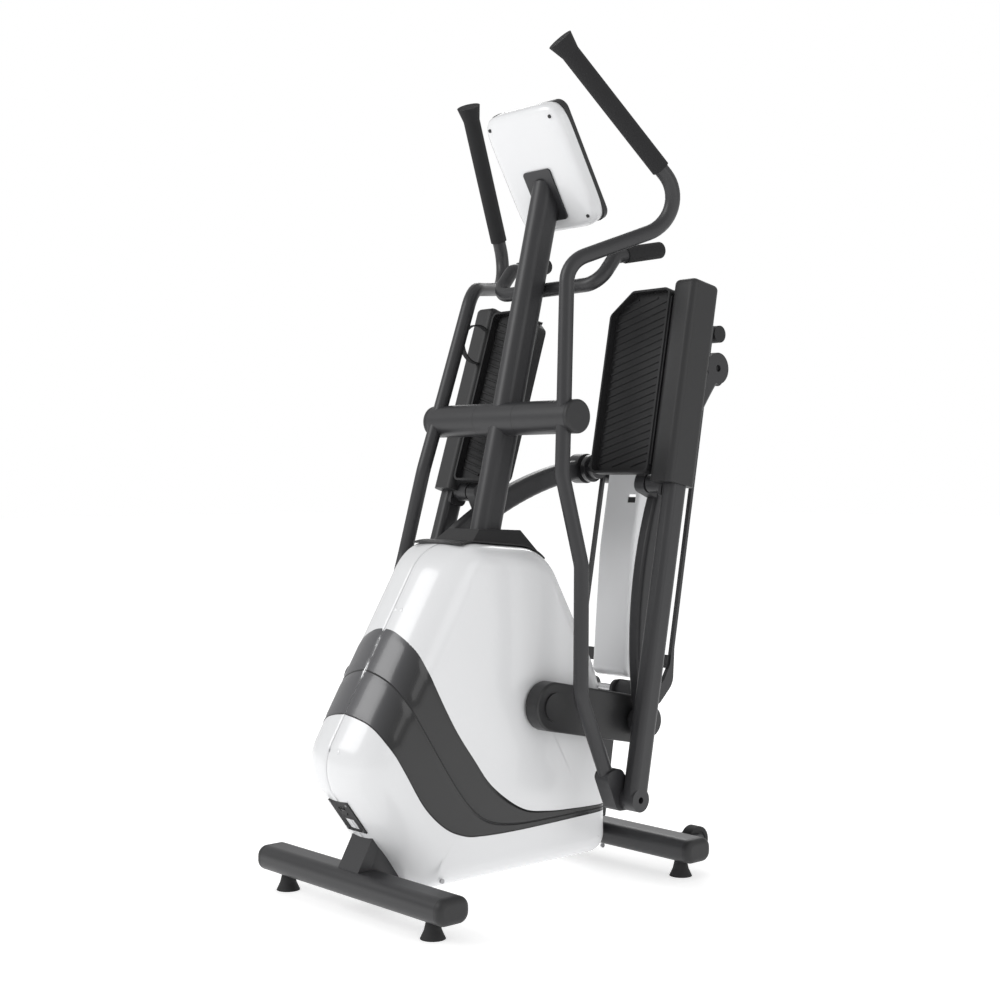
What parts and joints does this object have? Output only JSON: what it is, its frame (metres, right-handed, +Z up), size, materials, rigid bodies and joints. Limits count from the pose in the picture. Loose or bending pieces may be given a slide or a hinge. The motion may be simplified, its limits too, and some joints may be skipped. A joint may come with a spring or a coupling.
{
  "type": "elliptical trainer",
  "caption": "Folding elliptical trainer with upright mast, swinging hand levers, bowed pedal links on tracks, enclosed crank drive and a rear track frame that folds up for storage.",
  "frame": {"origin": "middle of the overall box of the folded machine, at floor level", "axes": "+Z up, +Y from the nose towards the rear track frame, +X to the user's left"},
  "size_m": [0.7032, 1.0414, 1.7743],
  "materials": {
    "frame_paint": "satin dark grey powder coat",
    "white_shell": "gloss white moulded shell",
    "accent_gloss": "gloss dark grey trim",
    "black_plastic": "fine-textured black moulding",
    "button_plastic": "satin keys",
    "roller_polymer": "smooth hard polymer",
    "rubber": "matte rubber",
    "grip_foam": "closed-cell foam",
    "strap_rubber": "flexible strap",
    "bright_steel": "turned steel",
    "screw_steel": "zinc-plated screws",
    "cast_iron": "machined iron",
    "screen_glass": "dark display window"
  },
  "bodies": {
    "base": {"front_stabiliser": "frame_paint", "rear_stabiliser": "frame_paint", "stabiliser_caps": "black_plastic", "main_frame": "frame_paint", "mast": "frame_paint", "casing_left": "white_shell", "casing_right": "white_shell", "mast_collar": "black_plastic", "accent_bands": "accent_gloss", "power_inlet": "black_plastic", "case_screws": "screw_steel", "crank_bearings": "bright_steel", "drive_belt": "rubber", "brake_magnet": "black_plastic", "hinge_pin": "bright_steel", "pivot_shaft": "bright_steel", "pivot_end_caps": "black_plastic", "fixed_handlebar": "frame_paint", "handlebar_grips": "grip_foam", "console_housing": "white_shell", "console_bezel": "black_plastic", "console_screen": "screen_glass"},
    "rear_frame": {"rear_frame": "frame_paint", "rest_feet": "rubber", "rear_cover": "white_shell"},
    "roller_carrier_left": {"roller_carrier_left": "frame_paint"},
    "track_roller_left": {"track_roller_left": "roller_polymer"},
    "retaining_roller_left": {"retaining_roller_left": "roller_polymer"},
    "link_left": {"link_left": "frame_paint"},
    "pedal_left": {"pedal_arm_left": "frame_paint", "pedal_cover_left": "black_plastic", "foot_tray_left": "black_plastic"},
    "swing_arm_left": {"swing_arm_left": "frame_paint", "hand_grip_left": "grip_foam"},
    "transport_wheel_left": {"transport_wheel_left": "rubber"},
    "levelling_foot_front_left": {"levelling_foot_front_left": "rubber"},
    "levelling_foot_rear_left": {"levelling_foot_rear_left": "rubber"},
    "roller_carrier_right": {"roller_carrier_right": "frame_paint"},
    "track_roller_right": {"track_roller_right": "roller_polymer"},
    "retaining_roller_right": {"retaining_roller_right": "roller_polymer"},
    "link_right": {"link_right": "frame_paint"},
    "pedal_right": {"pedal_arm_right": "frame_paint", "pedal_cover_right": "black_plastic", "foot_tray_right": "black_plastic", "storage_strap": "strap_rubber"},
    "swing_arm_right": {"swing_arm_right": "frame_paint", "hand_grip_right": "grip_foam"},
    "transport_wheel_right": {"transport_wheel_right": "rubber"},
    "levelling_foot_front_right": {"levelling_foot_front_right": "rubber"},
    "levelling_foot_rear_right": {"levelling_foot_rear_right": "rubber"},
    "crank": {"crank_axle": "bright_steel", "drive_pulley": "black_plastic", "crank_arm_left": "black_plastic", "crank_arm_right": "black_plastic"},
    "flywheel": {"flywheel": "cast_iron"},
    "fold_latch": {"fold_latch": "black_plastic"},
    "button_up": {"button_up": "button_plastic"},
    "button_start": {"button_start": "button_plastic"},
    "button_down": {"button_down": "button_plastic"},
    "power_switch": {"power_switch": "black_plastic"}
  },
  "joints": [
    {"name": "rear_frame_fold", "type": "hinge", "parent": "base", "child": "rear_frame", "pos_m": [0, 0.27359, 0.387], "axis": [-1, 0, 0], "range_deg": [0, 100.04]},
    {"name": "roller_slide_left", "type": "slide", "parent": "rear_frame", "child": "roller_carrier_left", "axis": [0, 0.184, 0.9829], "range_m": [-0.0005, 0.00872]},
    {"name": "link_turn_left", "type": "hinge", "parent": "roller_carrier_left", "child": "link_left", "pos_m": [0.19, 0.42652, 1.12263], "axis": [-1, 0, 0], "range_deg": [-9.63, 0.1]},
    {"name": "pedal_turn_left", "type": "hinge", "parent": "link_left", "child": "pedal_left", "pos_m": [0.19, 0.1992, 0.86076], "axis": [-1, 0, 0], "range_deg": [-23.33, 0.1]},
    {"name": "swing_arm_turn_left", "type": "hinge", "parent": "base", "child": "swing_arm_left", "pos_m": [0.15, -0.04941, 1], "axis": [1, 0, 0], "range_deg": [-1.08, 0.1]},
    {"name": "track_roller_spin_left", "type": "hinge", "parent": "roller_carrier_left", "child": "track_roller_left", "pos_m": [0.146, 0.42652, 1.12263], "axis": [1, 0, 0], "continuous": true},
    {"name": "retaining_roller_spin_left", "type": "hinge", "parent": "roller_carrier_left", "child": "retaining_roller_left", "pos_m": [0.144, 0.48132, 1.10831], "axis": [1, 0, 0], "continuous": true},
    {"name": "transport_wheel_spin_left", "type": "hinge", "parent": "base", "child": "transport_wheel_left", "pos_m": [0.215, 0.33359, 0.062], "axis": [1, 0, 0], "continuous": true},
    {"name": "level_front_left", "type": "slide", "parent": "base", "child": "levelling_foot_front_left", "axis": [0, 0, -1], "range_m": [0, 0.008]},
    {"name": "level_rear_left", "type": "slide", "parent": "base", "child": "levelling_foot_rear_left", "axis": [0, 0, -1], "range_m": [0, 0.008]},
    {"name": "roller_slide_right", "type": "slide", "parent": "rear_frame", "child": "roller_carrier_right", "axis": [0, 0.184, 0.9829], "range_m": [-0.26456, 0.0005]},
    {"name": "link_turn_right", "type": "hinge", "parent": "roller_carrier_right", "child": "link_right", "pos_m": [-0.19, 0.38408, 0.89587], "axis": [-1, 0, 0], "range_deg": [-54.99, 0.1]},
    {"name": "pedal_turn_right", "type": "hinge", "parent": "link_right", "child": "pedal_right", "pos_m": [-0.19, 0.04188, 0.83979], "axis": [-1, 0, 0], "range_deg": [-0.1, 9.14]},
    {"name": "swing_arm_turn_right", "type": "hinge", "parent": "base", "child": "swing_arm_right", "pos_m": [-0.15, -0.04941, 1], "axis": [1, 0, 0], "range_deg": [-18.78, 0.1]},
    {"name": "track_roller_spin_right", "type": "hinge", "parent": "roller_carrier_right", "child": "track_roller_right", "pos_m": [-0.146, 0.38408, 0.89587], "axis": [1, 0, 0], "continuous": true},
    {"name": "retaining_roller_spin_right", "type": "hinge", "parent": "roller_carrier_right", "child": "retaining_roller_right", "pos_m": [-0.144, 0.43888, 0.88154], "axis": [1, 0, 0], "continuous": true},
    {"name": "transport_wheel_spin_right", "type": "hinge", "parent": "base", "child": "transport_wheel_right", "pos_m": [-0.215, 0.33359, 0.062], "axis": [1, 0, 0], "continuous": true},
    {"name": "level_front_right", "type": "slide", "parent": "base", "child": "levelling_foot_front_right", "axis": [0, 0, -1], "range_m": [0, 0.008]},
    {"name": "level_rear_right", "type": "slide", "parent": "base", "child": "levelling_foot_rear_right", "axis": [0, 0, -1], "range_m": [0, 0.008]},
    {"name": "crank_spin", "type": "hinge", "parent": "base", "child": "crank", "pos_m": [0, -0.04641, 0.39], "axis": [1, 0, 0], "continuous": true},
    {"name": "flywheel_spin", "type": "hinge", "parent": "base", "child": "flywheel", "pos_m": [0, -0.23141, 0.3], "axis": [1, 0, 0], "continuous": true},
    {"name": "fold_latch_slide", "type": "slide", "parent": "rear_frame", "child": "fold_latch", "axis": [0, 0.184, 0.9829], "range_m": [0, 0.006], "stiffness_N_per_m": 400},
    {"name": "button_press_up", "type": "slide", "parent": "base", "child": "button_up", "axis": [0, -0.8634, -0.5045], "range_m": [0, 0.0015], "stiffness_N_per_m": 400},
    {"name": "button_press_start", "type": "slide", "parent": "base", "child": "button_start", "axis": [0, -0.8634, -0.5045], "range_m": [0, 0.0015], "stiffness_N_per_m": 400},
    {"name": "button_press_down", "type": "slide", "parent": "base", "child": "button_down", "axis": [0, -0.8634, -0.5045], "range_m": [0, 0.0015], "stiffness_N_per_m": 400},
    {"name": "power_switch_rock", "type": "hinge", "parent": "base", "child": "power_switch", "pos_m": [0, -0.47724, 0.20938], "axis": [1, 0, 0], "range_deg": [-8, 8]}
  ],
  "couplings": [
    {"joint": "roller_slide_left", "follows": "rear_frame_fold", "m_per_rad": 0.0047087},
    {"joint": "link_turn_left", "follows": "rear_frame_fold", "ratio": -0.095272},
    {"joint": "pedal_turn_left", "follows": "rear_frame_fold", "ratio": -0.23223},
    {"joint": "swing_arm_turn_left", "follows": "rear_frame_fold", "ratio": -0.0097795},
    {"joint": "roller_slide_right", "follows": "rear_frame_fold", "m_per_rad": -0.15124},
    {"joint": "link_turn_right", "follows": "rear_frame_fold", "ratio": -0.54867},
    {"joint": "pedal_turn_right", "follows": "rear_frame_fold", "ratio": 0.090344},
    {"joint": "swing_arm_turn_right", "follows": "rear_frame_fold", "ratio": -0.18677},
    {"joint": "flywheel_spin", "follows": "crank_spin", "ratio": 6.3636}
  ]
}
